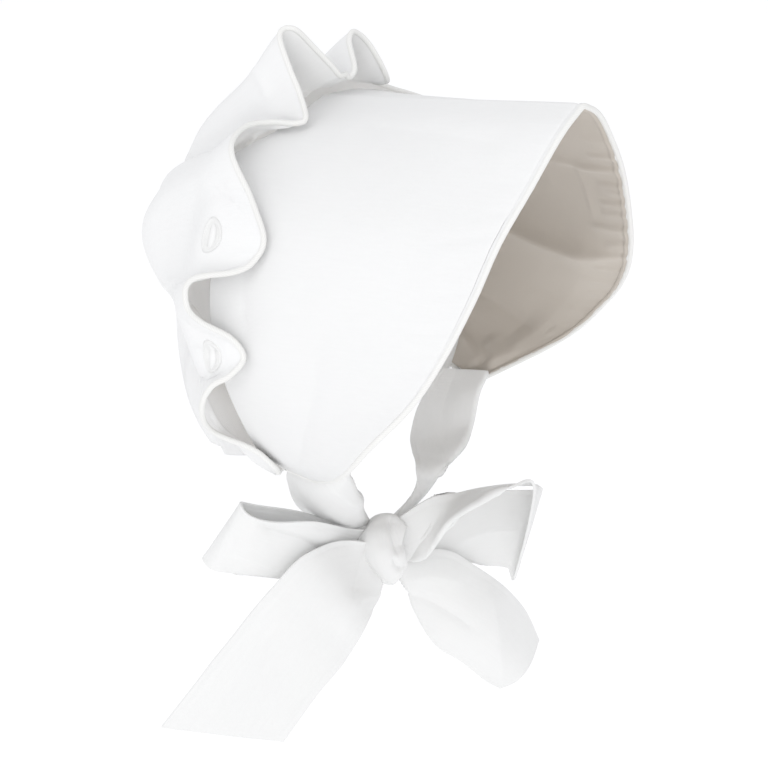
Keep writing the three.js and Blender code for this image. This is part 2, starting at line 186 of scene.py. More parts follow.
def makeCloth(name, colour, shade):
    material, tree, shader = startMaterial(name, cotton["roughness"], cotton["specular"])
    shader.inputs["Sheen Weight"].default_value = cotton["sheen"]
    link = tree.links.new
    flat = addNode(tree, "ShaderNodeUVMap", {"uv_map": "flat"})
    place = addNode(tree, "ShaderNodeTexCoord")

    weave = addNode(tree, "ShaderNodeMath", {"operation": "MULTIPLY"})
    for slot, direction in enumerate("XY"):
        threads = addNode(
            tree, "ShaderNodeTexWave", {"bands_direction": direction}, Detail=2, Detail_Scale=0.4,
            Scale=bandsPerMetre(cotton["threadPitch"]), Distortion=cotton["threadWaver"],
        )
        link(flat.outputs["UV"], threads.inputs["Vector"])
        link(threads.outputs["Fac"], weave.inputs[slot])

    streaks = addNode(tree, "ShaderNodeMapping", Scale=(1, cotton["yarnStretch"], 1))
    yarn = addNode(tree, "ShaderNodeTexNoise", Scale=cotton["yarnScale"], Detail=3)
    link(flat.outputs["UV"], streaks.inputs["Vector"])
    link(streaks.outputs["Vector"], yarn.inputs["Vector"])
    patches = addNode(tree, "ShaderNodeTexNoise", Scale=cotton["patchScale"], Detail=2)
    link(place.outputs["Object"], patches.inputs["Vector"])
    tone = mixTones(tree, "MIX", (*colour, 1), (*shade, 1), patches.outputs["Fac"])
    tone = mixTones(tree, "MULTIPLY", tone, yarn.outputs["Fac"], cotton["yarnTone"])
    link(tone, shader.inputs["Base Color"])

    crumple = addNode(tree, "ShaderNodeTexNoise", Scale=cotton["crumpleScale"], Detail=4)
    link(place.outputs["Object"], crumple.inputs["Vector"])
    soft = addNode(tree, "ShaderNodeBump", Strength=1, Distance=cotton["crumpleDepth"])
    link(crumple.outputs["Fac"], soft.inputs["Height"])
    fine = addNode(tree, "ShaderNodeBump", Strength=1, Distance=cotton["weaveDepth"])
    link(weave.outputs[0], fine.inputs["Height"])
    link(soft.outputs["Normal"], fine.inputs["Normal"])
    link(fine.outputs["Normal"], shader.inputs["Normal"])
    return material


def makeThread(name, colour, shade, pitch):
    material, tree, shader = startMaterial(name, thread["roughness"], thread["specular"])
    link = tree.links.new
    flat = addNode(tree, "ShaderNodeUVMap", {"uv_map": "flat"})
    slant = addNode(tree, "ShaderNodeMapping", Rotation=(0, 0, thread["slant"]))
    strands = addNode(tree, "ShaderNodeTexWave", Scale=bandsPerMetre(pitch), Distortion=thread["waver"])
    link(flat.outputs["UV"], slant.inputs["Vector"])
    link(slant.outputs["Vector"], strands.inputs["Vector"])
    # the grooves between strands are painted darker than their crests: painted shade that follows the
    # strands' bump
    tone = mixTones(tree, "MIX", (*shade, 1), (*colour, 1), strands.outputs["Fac"])
    link(tone, shader.inputs["Base Color"])
    relief = addNode(tree, "ShaderNodeBump", Strength=1, Distance=thread["relief"])
    link(strands.outputs["Fac"], relief.inputs["Height"])
    link(relief.outputs["Normal"], shader.inputs["Normal"])
    return material


def makePearl(name, colour, shade):
    material, tree, shader = startMaterial(name, pearl["roughness"], pearl["specular"])
    link = tree.links.new
    place = addNode(tree, "ShaderNodeTexCoord")
    cloud = addNode(
        tree, "ShaderNodeTexNoise", Scale=pearl["cloudScale"], Detail=3, Distortion=pearl["cloudSwirl"],
    )
    link(place.outputs["Object"], cloud.inputs["Vector"])
    tone = mixTones(tree, "MIX", (*colour, 1), (*shade, 1), cloud.outputs["Fac"])
    link(tone, shader.inputs["Base Color"])
    return material


outerCotton = makeCloth("outerCotton", (0.84, 0.84, 0.838), (0.81, 0.81, 0.81))
# the brim's inside faces: the same white cotton, painted a dark warm taupe as painted shade for the shadowed
# inside of the bonnet
brimInsidePaintedShade = makeCloth("brimInsidePaintedShade", (0.58, 0.53, 0.475), (0.53, 0.485, 0.43))
brimCotton = makeCloth("brimCotton", (0.805, 0.805, 0.803), (0.77, 0.77, 0.768))
# the crown's inside faces: the same cotton painted lighter than its outside, a painted light that brightens
# the shaded undersides of the ruffle
crownInsidePaintedLight = makeCloth("crownInsidePaintedLight", (0.93, 0.93, 0.925), (0.91, 0.91, 0.905))
tieCotton = makeCloth("tieCotton", (0.82, 0.82, 0.812), (0.785, 0.785, 0.78))
pipingCotton = makeThread("pipingCotton", (0.8, 0.797, 0.78), (0.76, 0.757, 0.74), 0.9 * mm)
stitchThread = makeThread("stitchThread", (0.82, 0.82, 0.81), (0.74, 0.74, 0.735), 0.5 * mm)
buttonPearl = makePearl("buttonPearl", (0.81, 0.81, 0.805), (0.77, 0.77, 0.765))
print("materials made")


# tables read as smooth curves
def columnTable(names, rows):
    ats = [row[0] for row in rows]
    spans = [b - a for a, b in zip(ats, ats[1:])]

    def reader(column):
        values = [row[column] for row in rows]
        slopes = [(b - a) / span for a, b, span in zip(values, values[1:], spans)]
        inner = [
            (slopes[i] * spans[i + 1] + slopes[i + 1] * spans[i]) / (spans[i] + spans[i + 1])
            for i in range(len(spans) - 1)
        ]
        tangents = [slopes[0], *inner, slopes[-1]]

        def read(at):
            at = min(max(at, ats[0]), ats[-1])
            i = min(bisect.bisect_right(ats, at) - 1, len(spans) - 1)
            u = (at - ats[i]) / spans[i]
            start = values[i] * (1 + 2 * u) + tangents[i] * spans[i] * u
            end = values[i + 1] * (3 - 2 * u) + tangents[i + 1] * spans[i] * (u - 1)
            return start * (1 - u) ** 2 + end * u ** 2

        return read

    return {name: reader(i) for i, name in enumerate(names.split())}


def smoothStep(low, high, x):
    t = min(max((x - low) / (high - low), 0), 1)
    return t * t * (3 - 2 * t)


def ridge(x, centre, width):
    return math.exp(-(((x - centre) / width) ** 2))


# creases: ridges or dents along lines on a sheet, in its own two parameters, with the rest in millimetres
creaseSoftness = 0.7
creaseEnds = 0.25  # a crease fades in and out over this share of its length


def creaseField(rows, scaleU, scaleV):
    lines = []
    for fromU, fromV, toU, toV, bow, height, right, left in rows:
        start = Vector((fromU * scaleU, fromV * scaleV))
        run = Vector((toU * scaleU, toV * scaleV)) - start
        lines.append((start, run.normalized(), run.length, bow, height, right, left))

    def field(u, v):
        place = Vector((u * scaleU, v * scaleV))
        total = 0
        for start, way, length, bow, height, right, left in lines:
            off = place - start
            t = off.dot(way) / length
            if not 0 < t < 1:
                continue
            side = way.x * off.y - way.y * off.x - bow * 4 * t * (1 - t)
            reach = math.hypot(side, creaseSoftness) - creaseSoftness
            profile = math.exp(-reach / (left if side > 0 else right))
            total += height * profile * smoothStep(0, creaseEnds, t) * smoothStep(1, 1 - creaseEnds, t)
        return total * mm

    return field


tiny = 1e-6  # lengths under this count as none
cornerAngle = math.radians(60)  # edges sharper than this are rounded


def unitGrid(columns, rows):
    mesh = bmesh.new()
    bmesh.ops.create_grid(mesh, x_segments=columns, y_segments=rows, size=0.5, calc_uvs=True)
    return mesh


# smooth faces, with the flat pattern as UVs: flatPlace gives it for a point of the unit square
def layPattern(mesh, flatPlace):
    layer = mesh.loops.layers.uv.verify()
    for face in mesh.faces:
        face.smooth = True
        for loop in face.loops:
            loop[layer].uv = flatPlace(loop.vert.co.x + 0.5, loop.vert.co.y + 0.5)


def closeMesh(mesh):
    bmesh.ops.remove_doubles(mesh, verts=mesh.verts, dist=tiny)
    bmesh.ops.holes_fill(mesh, edges=[edge for edge in mesh.edges if edge.is_boundary])
    bmesh.ops.recalc_face_normals(mesh, faces=mesh.faces)


def finishMesh(name, mesh, materials):
    data = bpy.data.meshes.new(name)
    mesh.to_mesh(data)
    mesh.free()
    for layer in data.uv_layers:
        layer.name = "flat"
    for material in materials:
        data.materials.append(material)
    return addObject(name, data)


# cloth: a grid laid over a surface of the unit square, then displaced along its normals and given a wall
def layCloth(name, surface, columns, rows, flat, thickness, materials, folds, rounding=0, crowding=0):
    mesh = unitGrid(columns, rows)
    for vert in mesh.verts:
        vert.co.y -= crowding * math.sin(2 * math.pi * (vert.co.y + 0.5)) / (2 * math.pi)
    squares = [(vert, vert.co.x + 0.5, vert.co.y + 0.5) for vert in mesh.verts]
    layPattern(mesh, lambda u, v: (u * flat[0], v * flat[1]))
    for vert, u, v in squares:
        vert.co = surface(u, v)
    mesh.normal_update()
    lifts = [(vert, vert.normal * folds(u, v, vert.co)) for vert, u, v in squares]
    for vert, lift in lifts:
        vert.co += lift
    item = finishMesh(name, mesh, materials)
    wall = item.modifiers.new("wall", "SOLIDIFY")
    wall.thickness = thickness
    wall.offset = 0
    wall.use_even_offset = False
    wall.material_offset = len(materials) - 1
    if rounding:
        edge = item.modifiers.new("edge", "BEVEL")
        edge.width = rounding
        edge.segments = 2
        edge.limit_method = "ANGLE"
        edge.angle_limit = cornerAngle
    return item


# a round tube along a path of points, its rings turned as little as they can be
def layTube(name, points, radius, sides, material, puckers):
    count = len(points) - 1
    neighbours = [(points[max(i - 1, 0)], points[min(i + 1, count)]) for i in range(count + 1)]
    tangents = [(after - before).normalized() for before, after in neighbours]
    side = tangents[0].orthogonal().normalized()
    sidesAlong = [side]
    for before, after in zip(tangents, tangents[1:]):
        side = before.rotation_difference(after) @ side
        sidesAlong.append(side)
    lengths = [0]
    for before, after in zip(points, points[1:]):
        lengths.append(lengths[-1] + (after - before).length)
    mesh = unitGrid(sides, count)
    layPattern(mesh, lambda u, v: (u * 2 * math.pi * radius, lengths[round(v * count)]))
    for vert in mesh.verts:
        turn = (vert.co.x + 0.5) * 2 * math.pi
        i = round((vert.co.y + 0.5) * count)
        swell = radius * (1 + puckers(lengths[i], turn))
        out = Matrix.Rotation(turn, 3, tangents[i]) @ sidesAlong[i]
        vert.co = points[i] + out * swell
    closeMesh(mesh)
    return finishMesh(name, mesh, [material])


# piping: a cord under a strip of cloth
piping = {
    "radius": 1.25 * mm,
    "sides": 14,
    "step": 1.1 * mm,
    "roughSteps": 4000,
    "smoothings": 2,  # of the brim's path, at its corners
    "puckerDepth": 0.05,  # as a share of the radius
    "puckerLength": 2.5 * mm,
}


# points of a curve at even distances
def evenPath(curve, start, end):
    steps = piping["roughSteps"]
    rough = [curve(start + (end - start) * i / steps) for i in range(steps + 1)]
    path = [rough[0]]
    for point in rough:
        if (point - path[-1]).length >= piping["step"]:
            path.append(point)
    return path


def pipingPuckers(length, turn):
    place = Vector((length / piping["puckerLength"], math.cos(turn), math.sin(turn)))
    return piping["puckerDepth"] * noise.noise(place)


# brim
brim = {
    "thickness": 1.8 * mm,
    "columns": 380,
    "rows": 96,
    "crowding": 0.75,
    "keptAlong": 0.995,  # the wall stops short of the piping at the tips
    "keptAcross": 0.996,  # and at the front edge
    "flat": (0.44, 0.135),
    "area": 0.0405,
    "gatherDepth": 0.35 * mm,
    "gatherReach": 9 * mm,
    "gathers": 60,
    "gatherStretch": 2,
    "puckerFrom": 1.06,
    "puckerTrim": 0.04,
    "puckerRight": 1.3,
    "puckerLeft": 2.2,
    "nearPuckers": 0.35,
    "ditchDepth": 0.5 * mm,
    "ditchFromEdge": 2.6 * mm,
    "ditchWidth": 0.9 * mm,
    "waver": 0.6 * mm,
    "waverScale": 14,
    "waverFrom": Vector((3, 1, 7)),
    "creaseSpan": 200,  # one half's length in millimetres, for the creases
    "creasesFrom": 9 * mm,  # large creases die out this far from the piped edge
    "tuckAt": -0.215,  # here, under the near top ruffle, the cloth runs on behind the seam
    "tuckSpread": 0.06,
    "tuckDepth": 0.1,
}
brimShape = columnTable("at seamX seamY seamZ frontX frontY frontZ", [
    (0.0, 0, 0, 0, 0, -136, 15),
    (0.1, 22, 0, -4, 13, -134, 7),
    (0.22, 50, 0, -15, 30, -129, -12),
    (0.34, 74, -2, -31, 45, -123, -31),
    (0.46, 88, -4, -52, 57, -117, -53),
    (0.58, 93, -6, -75, 69, -109, -75),
    (0.7, 91, -8, -97, 79, -98, -95),
    (0.8, 84, -9, -118, 87, -82, -113),
    (0.9, 75, -9, -136, 82, -60, -134),
    (1.0, 62, -10, -150, 58, -24, -155),
])


@functools.cache
def brimRuling(along):
    side = -1 if along < 0 else 1
    at = abs(along)
    ends = [Vector([brimShape[edge + axis](at) * mm for axis in "XYZ"]) for edge in ("seam", "front")]
    for end in ends:
        end.x *= side
    return ends


def brimPoint(along, across):
    seam, front = brimRuling(along)
    return seam.lerp(front, across)


# short puckers that the piping draws in: place along the brim, lean, how far in they reach, depth
brimPuckers = [
    (0.2, 0.017, 0.9, 0.5),
    (0.262, 0.035, 0.87, 0.9),
    (0.315, 0.045, 0.78, 1.2),
    (0.372, 0.03, 0.88, 0.7),
    (0.396, 0.02, 0.91, 0.5),
    (0.432, 0.028, 0.87, 0.8),
    (0.468, 0.025, 0.88, 0.7),
    (0.518, 0.026, 0.8, 1.1),
    (0.572, 0.012, 0.9, 0.7),
    (0.617, 0.004, 0.84, 1.1),
    (0.687, -0.027, 0.86, 0.9),
    (0.74, -0.03, 0.82, 0.7),
    (0.79, -0.03, 0.84, 0.6),
    (0.85, -0.03, 0.8, 0.6),
    (0.9, -0.02, 0.82, 0.6),
]
# fromAlong fromAcross toAlong toAcross bow height right left
brimCreases = [
    (0.555, -0.1, 0.61, 1.02, -10, -9, 26, 9),
    (0.79, -0.15, 0.9, 0.72, 0, 3, 6, 9),
    (0.92, 0.28, 0.975, 0.9, 0, -2.4, 2, 3),
    (0.905, -0.1, 0.98, 0.68, -2, -2.6, 6, 2),
    (0.89, 0.5, 0.96, 0.9, 0, -0.9, 1.5, 2),
    (0.34, 0.76, 0.54, 0.8, 0, -0.7, 0.8, 4),
    (0.375, 0.5, 0.33, 0.96, 0, -1.2, 2, 4),
    (0.15, 0.3, 0.5, 0.62, 4, -1.5, 14, 14),
    (-0.3, 0.1, -0.62, 0.16, 0, -1.2, 9, 9),
    (-0.5, 0.45, -0.95, 0.5, -3, -1, 10, 14),
    (-0.1, 0.2, -0.14, 0.9, 0, -1.2, 8, 12),
]


def puckerRows(side, share):
    start, trim = brim["puckerFrom"], brim["puckerTrim"]
    widths = (brim["puckerRight"], brim["puckerLeft"])
    return [
        (side * at, start, side * (at + lean), reach - trim, 0, -depth * share, *widths)
        for at, lean, reach, depth in brimPuckers
    ]


brimScale = (brim["creaseSpan"], brim["flat"][1] / mm)
brimCreaseField = creaseField(brimCreases, *brimScale)
brimPuckerField = creaseField(puckerRows(1, 1) + puckerRows(-1, brim["nearPuckers"]), *brimScale)


def brimFolds(along, across, place):
    edge = (1 - across) * brim["flat"][1]
    gather = noise.noise(Vector((along * brim["gathers"], across * brim["gatherStretch"], 0)))
    gather *= brim["gatherDepth"] * math.exp(-edge / brim["gatherReach"])
    ditch = brim["ditchDepth"] * ridge(edge, brim["ditchFromEdge"], brim["ditchWidth"])
    large = noise.noise(place * brim["waverScale"] + brim["waverFrom"]) * brim["waver"]
    large = (large + brimCreaseField(along, across)) * smoothStep(0, brim["creasesFrom"], edge)
    return gather + large - ditch + brimPuckerField(along, across)


def makeBrim():
    def place(u, v):
        along = (1 - 2 * u) * brim["keptAlong"]
        tuck = brim["tuckDepth"] * ridge(along, brim["tuckAt"], brim["tuckSpread"])
        return along, brim["keptAcross"] * v - tuck * (1 - v)

    # the wall's inner faces take the last material: the painted shade of the brim's inside
    item = layCloth(
        "brimPanel", lambda u, v: brimPoint(*place(u, v)), brim["columns"], brim["rows"], brim["flat"],
        brim["thickness"], [brimCotton, brimInsidePaintedShade], lambda u, v, at: brimFolds(*place(u, v), at),
        crowding=brim["crowding"],
    )
    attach(item, "root")
    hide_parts("brim")


tipRun = 0.1  # what a tip takes of the outline's parameter, where each half of the front takes 1


# down the left tip, along the front edge and up the right tip
def brimOutline(t):
    if t < tipRun:
        return brimPoint(1, t / tipRun)
    if t < 2 + tipRun:
        return brimPoint(1 + tipRun - t, 1)
    return brimPoint(-1, 1 - (t - (2 + tipRun)) / tipRun)


def makeBrimPiping():
    path = evenPath(brimOutline, 0, 2 + 2 * tipRun)
    for _ in range(piping["smoothings"]):
        inner = [(a + b * 2 + c) / 4 for a, b, c in zip(path, path[1:], path[2:])]
        path = [path[0], *inner, path[-1]]
    item = layTube("brimPiping", path, piping["radius"], piping["sides"], pipingCotton, pipingPuckers)
    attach(item, "root")
    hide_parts("brim_piping")


# crown
crown = {
    "thickness": 1.4 * mm,
    "columns": 470,
    "rows": 92,
    "crowding": 0.45,
    "edgeGap": 0.002,  # the wall starts this far back, inside the piping
    "overBrim": 4.2 * mm,  # the crown keeps this distance to the brim
    "clearBehind": 22 * mm,  # and gives it up again over this distance behind the seam
    "clearFrom": 2.25 * mm,
    "liftBend": 1.5,  # over 1: a wave drops quickly behind the edge
    "leftRuffle": 0.7,  # the left ruffle lies this much flatter
    "leftForward": 0.8,
    "leftFlatTo": 0.4,  # its waves hardly lift down to here along the seam
    "leftFullFrom": 0.5,
    "mirrorFrom": 0.36,  # from here down its waves mirror the right side's
    "napeGathers": 9,
    "napeGatherDepth": 1.5 * mm,
    "gathersFrom": 0.7,
    "settledAt": 0.35,
    "taperBend": 0.6,
    "slopeStep": 0.001,
    "softDepth": 0.7 * mm,
    "softScale": 26,
    "softFrom": 0.02,
    "softFullFrom": 0.2,
    "creaseWave": 19,  # millimetres to one row of the ruffle, for the creases
    "creaseBack": 190,  # and to the crown's depth
    "flat": (0.62, 0.19),
    "area": 0.06,
}
seamHalfWidth = 93 * mm
seamHeight = 150 * mm
# seam forward lift fade, for every turn of the ruffle
ruffleRight = [
    (0.96, 5, 3.4, 0.5),
    (0.914, 10, 3.4, 0.45),
    (0.86, 4, 5, 0.4),
    (0.8, -9, 10, 0.35),
    (0.72, -4, 15, 0.3),
    (0.68, 1, 11, 0.3),
    (0.66, 9, 7, 0.3),
    (0.62, 16, 4.5, 0.3),
    (0.575, 12, 6, 0.3),
    (0.535, 2, 14, 0.3),
    (0.5, 0, 22, 0.35),
    (0.465, 1, 20, 0.35),
    (0.445, 15, 9, 0.3),
    (0.42, 21, 5, 0.4),
    (0.375, 23, 4.5, 0.5),
    (0.31, 13, 8, 0.6),
    (0.25, 0, 17, 0.62),
    (0.19, -4, 14, 0.62),
    (0.15, 0, 8, 0.6),
    (0.14, 10, 6, 0.6),
    (0.125, 13, 6, 0.6),
    (0.112, 11.5, 16, 0.6),
    (0.1, 8, 25.2, 0.62),
    (0.082, 2.5, 34.6, 0.62),
    (0.072, 0.8, 37.7, 0.62),
    (0.061, 1.5, 38.7, 0.62),
    (0.05, 4.7, 36.6, 0.62),
    (0.03, 7.2, 27, 0.62),
    (0.012, 11, 16.5, 0.62),
    (0.0, 12.3, 10, 0.62),
]
ruffleLeftTop = [
    (0.012, 12, 8.3, 0.62),
    (0.025, 12.6, 10, 0.62),
    (0.035, 11.5, 13.3, 0.62),
    (0.045, 8.4, 17.9, 0.62),
    (0.055, 5.3, 22.8, 0.62),
    (0.07, 3.7, 26.2, 0.62),
    (0.085, 3.9, 25.1, 0.62),
    (0.1, 6, 20.5, 0.62),
    (0.115, 9.5, 13, 0.62),
    (0.128, 11.5, 6.5, 0.62),
    (0.14, 8, 5, 0.62),
    (0.15, 0, 4, 0.62),
    (0.18, -7, 3.5, 0.62),
    (0.22, -12, 3, 0.62),
    (0.27, -13, 2.5, 0.62),
    (0.33, -2, 3.5, 0.6),
]


def ruffleRows():
    over = crown["overBrim"] / mm
    rows = [(-at, forward, lift, fade) for at, forward, lift, fade in ruffleRight] + ruffleLeftTop
    for at, forward, lift, fade in reversed(ruffleRight):
        if at > crown["mirrorFrom"]:
            share = crown["leftRuffle"] * smoothStep(crown["leftFlatTo"], crown["leftFullFrom"], at)
            rows.append((at, forward * crown["leftForward"], over + (lift - over) * share, fade))
    return [(i, *row) for i, row in enumerate(rows)]


ruffle = columnTable("wave seam forward lift fade", ruffleRows())
ruffleEnd = len(ruffleRows()) - 1
ribs = columnTable("at halfWidth reach angle hingeY hingeZ taper", [
    (0.0, 93, 150, 2, -10, -150, 0.0),
    (0.15, 96, 141, 11.5, -8, -150, 0.11),
    (0.35, 94, 133, 29, -4, -150, 0.37),
    (0.6, 73, 100, 44, 2, -149, 0.6),
    (0.8, 68, 75, 60, 7, -151, 0.41),
    (1.0, 57, 43, 82, 11, -157, 0.15),
])
# where the gathered crown puffs out or sinks in, on both sides: seam back seamSpread backSpread height
billows = [
    (0.14, 0.42, 0.05, 0.13, 7),
    (0.28, 0.45, 0.09, 0.13, 9),
    (0.49, 0.45, 0.06, 0.16, -8),
    (0.59, 0.71, 0.12, 0.2, 4),
]
crownMiddle = Vector((0, -10, -90)) * mm


@functools.cache
def seamFrame(along):
    side = -1 if along < 0 else 1
    step = crown["slopeStep"]
    at = side * min(max(abs(along), step), 1 - step)
    origin = brimPoint(at, 0)
    forward = (brimPoint(at, 1) - origin).normalized()
    tangent = brimPoint(at + step, 0) - brimPoint(at - step, 0)
    return origin, forward, forward.cross(tangent).normalized()


@functools.cache
def waveAt(wave):
    return ruffle["seam"](wave), ruffle["forward"](wave) * mm, ruffle["lift"](wave) * mm, ruffle["fade"](wave)


@functools.cache
def ribAt(back):
    angle = math.radians(ribs["angle"](back))
    return {
        "width": ribs["halfWidth"](back) * mm / seamHalfWidth,
        "taper": ribs["taper"](back),
        "hinge": Vector((0, ribs["hingeY"](back), ribs["hingeZ"](back))) * mm,
        "reach": Vector((0, math.sin(angle), math.cos(angle))) * ribs["reach"](back) * mm,
    }


def ribPoint(seamPoint, back):
    rib = ribAt(back)
    height = (seamPoint.z + seamHeight) / seamHeight
    point = rib["hinge"] + rib["reach"] * height
    point.x = seamPoint.x * rib["width"] * (1 - rib["taper"] * max(1 - height, 0) ** crown["taperBend"])
    return point


def billowHeight(seam, back):
    return sum(
        height * ridge(seam, atSeam, seamSpread) * ridge(back, atBack, backSpread)
        for atSeam, atBack, seamSpread, backSpread, height in billows
    ) * mm


def crownPoint(wave, back):
    seam, forwardReach, edgeLift, fade = waveAt(wave)
    origin, forward, outward = seamFrame(seam)
    share = max(1 - back / fade, 0) ** crown["liftBend"]
    lift = crown["overBrim"] + (edgeLift - crown["overBrim"]) * share
    settle = 1 - smoothStep(0, crown["settledAt"], back)
    gather = crown["napeGatherDepth"] * smoothStep(crown["gathersFrom"], 1, back)
    gather *= math.cos(crown["napeGathers"] * math.pi * seam)
    point = (
        ribPoint(origin, back) + outward * lift + forward * forwardReach * share
        + (origin - ribPoint(origin, 0)) * settle
        + Vector((origin.x / seamHalfWidth, 1, 0)) * gather
    )
    point += (point - crownMiddle).normalized() * billowHeight(abs(seam), back)
    fromSeam = point - origin
    over = smoothStep(-crown["clearBehind"], -crown["clearFrom"], fromSeam.dot(forward))
    return point + outward * over * max(crown["overBrim"] - fromSeam.dot(outward), 0)


# fromWave fromBack toWave toBack bow height right left
crownCreases = [
    (24.1, 0.13, 21.2, 0.09, 2, 1.1, 2.5, 4),
    (15.15, -0.02, 15.3, 0.07, 0, 0.6, 1, 1.6),
    (14.8, -0.02, 15.0, 0.1, 0, 0.6, 1, 1.6),
    (13.4, -0.02, 13.3, 0.07, 0, 0.45, 1, 2),
    (9.4, -0.02, 9.2, 0.1, 0, 0.6, 1.5, 2),
    (8.0, 0.18, 7.4, 0.05, 0, -1.3, 3, 4),
    (3.6, -0.02, 3.4, 0.12, 0, 0.6, 2, 2),
    (19.6, 0.02, 18.6, 0.3, 3, -1.5, 6, 8),
    (10.4, 0.12, 11.2, 0.5, 0, -2, 10, 12),
    (6.2, 0.1, 5.0, 0.45, 0, -2, 9, 12),
]
crownCreaseField = creaseField(crownCreases, crown["creaseWave"], crown["creaseBack"])


def crownFolds(wave, back, place):
    soft = noise.noise(place * crown["softScale"]) * crown["softDepth"]
    return soft * smoothStep(crown["softFrom"], crown["softFullFrom"], back) + crownCreaseField(wave, back)


def makeCrown():
    def place(u, v):
        return u * ruffleEnd, crown["edgeGap"] + (1 - crown["edgeGap"]) * v

    # the wall's inner faces take the last material: the painted light of the crown's inside
    item = layCloth(
        "crownCap", lambda u, v: crownPoint(*place(u, v)), crown["columns"], crown["rows"], crown["flat"],
        crown["thickness"], [outerCotton, crownInsidePaintedLight], lambda u, v, at: crownFolds(*place(u, v), at),
        crowding=crown["crowding"],
    )
    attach(item, "root")
    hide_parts("crown")


def makeCrownPiping():
    path = evenPath(lambda wave: crownPoint(wave, 0), 0, ruffleEnd)
    item = layTube("crownPiping", path, piping["radius"], piping["sides"], pipingCotton, pipingPuckers)
    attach(item, "root")
    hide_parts("crown_piping")


# buttons: each a stitched oval buttonhole with the edge of its button showing through the slit
button = {
    "halfWidth": 4.2 * mm,
    "halfLength": 7.6 * mm,
    "slitHalfWidth": 1.3 * mm,
    "slitHalfLength": 5 * mm,
    "slitShift": 0.3 * mm,
    "rimAt": 0.88,
    "rimWidth": 0.06,
    "rimHeight": 0.45 * mm,
    "pearlHeight": 0.9 * mm,
    "wall": 0.4 * mm,
    "lift": 0.1 * mm,  # above the crown's skin, and its border sinks in by three times that
    "borderFrom": 0.92,
    "levelCrown": 0.5,  # where the crown slopes less than this, a button lies along its edge
    "around": 60,
    "rings": 22,
    "thread": (36 * mm, 6 * mm),  # round and across the stitches, for their pattern
    "slopeStep": 0.002,
}
buttonPlaces = [(-0.61, 0.1), (-0.37, 0.13), (0, 0.22), (0.37, 0.13), (0.61, 0.1)]  # seam and back
insideHead = Vector((0, -20, -80)) * mm


# the wave that stands at a place along the seam, by halving
def waveOfSeam(seam):
    low, high = 0, ruffleEnd
    for _ in range(40):
        middle = (low + high) / 2
        low, high = (middle, high) if ruffle["seam"](middle) < seam else (low, middle)
    return low


def crownSkin(wave, back):
    step = button["slopeStep"]
    alongEdge = (crownPoint(wave + step, back) - crownPoint(wave - step, back)) / (2 * step)
    inward = (crownPoint(wave, back + step) - crownPoint(wave, back - step)) / (2 * step)
    outward = alongEdge.cross(inward).normalized()
    point = crownPoint(wave, back)
    if outward.dot(point - insideHead) < 0:
        outward.negate()
    skin = point + outward * (crownFolds(wave, back, point) + crown["thickness"] / 2)
    return skin, alongEdge, inward, outward


# under 1 inside the slit
def slitShare(x, y):
    return ((x - button["slitShift"]) / button["slitHalfWidth"]) ** 2 + (y / button["slitHalfLength"]) ** 2


# a point of the unit square taken as turn and radius of the oval: its radius, and its place there
def ovalPlace(co):
    turn, radius = (co.x + 0.5) * 2 * math.pi, co.y + 0.5
    x = math.cos(turn) * radius * button["halfWidth"]
    y = math.sin(turn) * radius * button["halfLength"]
    return radius, x, y


# the steps in wave and back that lead from a place on the crown by an offset in its tangent plane
def crownSteps(alongEdge, inward, offset):
    a, b, c = alongEdge.dot(alongEdge), alongEdge.dot(inward), inward.dot(inward)
    first, second = alongEdge.dot(offset), inward.dot(offset)
    scale = a * c - b * b
    return (c * first - b * second) / scale, (a * second - b * first) / scale


def makeButton(number, seam, back):
    wave = waveOfSeam(seam)
    _, alongEdge, inward, facing = crownSkin(wave, back)
    upright = Vector((0, 0, 1)) - facing * facing.z
    longWay = alongEdge.normalized() if upright.length < button["levelCrown"] else upright.normalized()
    sideways = longWay.cross(facing)
    mesh = unitGrid(button["around"], button["rings"])
    layPattern(mesh, lambda u, v: (u * button["thread"][0], v * button["thread"][1]))
    for face in mesh.faces:
        _, x, y = ovalPlace(face.calc_center_median())
        face.material_index = 1 if slitShare(x, y) < 1 else 0
    for vert in mesh.verts:
        radius, x, y = ovalPlace(vert.co)
        waveStep, backStep = crownSteps(alongEdge, inward, longWay * y + sideways * x)
        skin, _, _, outward = crownSkin(wave + waveStep, back + backStep)
        height = button["rimHeight"] * ridge(radius, button["rimAt"], button["rimWidth"])
        height += button["pearlHeight"] * math.sqrt(max(1 - slitShare(x, y), 0))
        height += button["lift"] * (1 - 4 * smoothStep(button["borderFrom"], 1, radius))
        vert.co = skin + outward * height
    bmesh.ops.remove_doubles(mesh, verts=mesh.verts, dist=tiny)
    item = finishMesh(f"button{number}", mesh, [stitchThread, buttonPearl])
    wall = item.modifiers.new("wall", "SOLIDIFY")
    wall.thickness = button["wall"]
    wall.offset = -1
    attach(item, "root")
    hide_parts(f"button_{number}")


# ties
ties = {
    "width": 44 * mm,
    "thickness": 1.2 * mm,
    "columns": 72,
    "rowStep": 1.1 * mm,
    "foldRadius": 1.1 * mm,
    "layers": 3,
    "fullest": 0.9,  # the hindmost layer reaches this far across a band
    "hemDepth": 0.14 * mm,
    "hemFromEdge": 2.6 * mm,
    "hemWidth": 0.8 * mm,
    "waver": 0.5 * mm,
    "waverScale": 45,
    "edgeRound": 0.35 * mm,
    "slopeStep": 0.004,
    "lengthSteps": 60,
    "bellyWay": Vector((-0.64, -0.77, 0)),
}
bandColumns = "at ax ay az bx by bz belly"  # its two edges, and how far its middle bows out, in millimetres
strapRight = columnTable(bandColumns, [
    (0.0, -60, -8, -146, -64, -46, -141, 0),
    (0.12, -54, -5, -153, -57, -42, -148, 1),
    (0.35, -46, 3, -166, -44, -30, -160, 7),
    (0.6, -34, 9, -186, -21, -12, -184, 8),
    (0.8, -19, 7, -202, -12, -7, -196, 4),
    (1.0, -2, 0, -216, 2, -3, -211, 1),
])
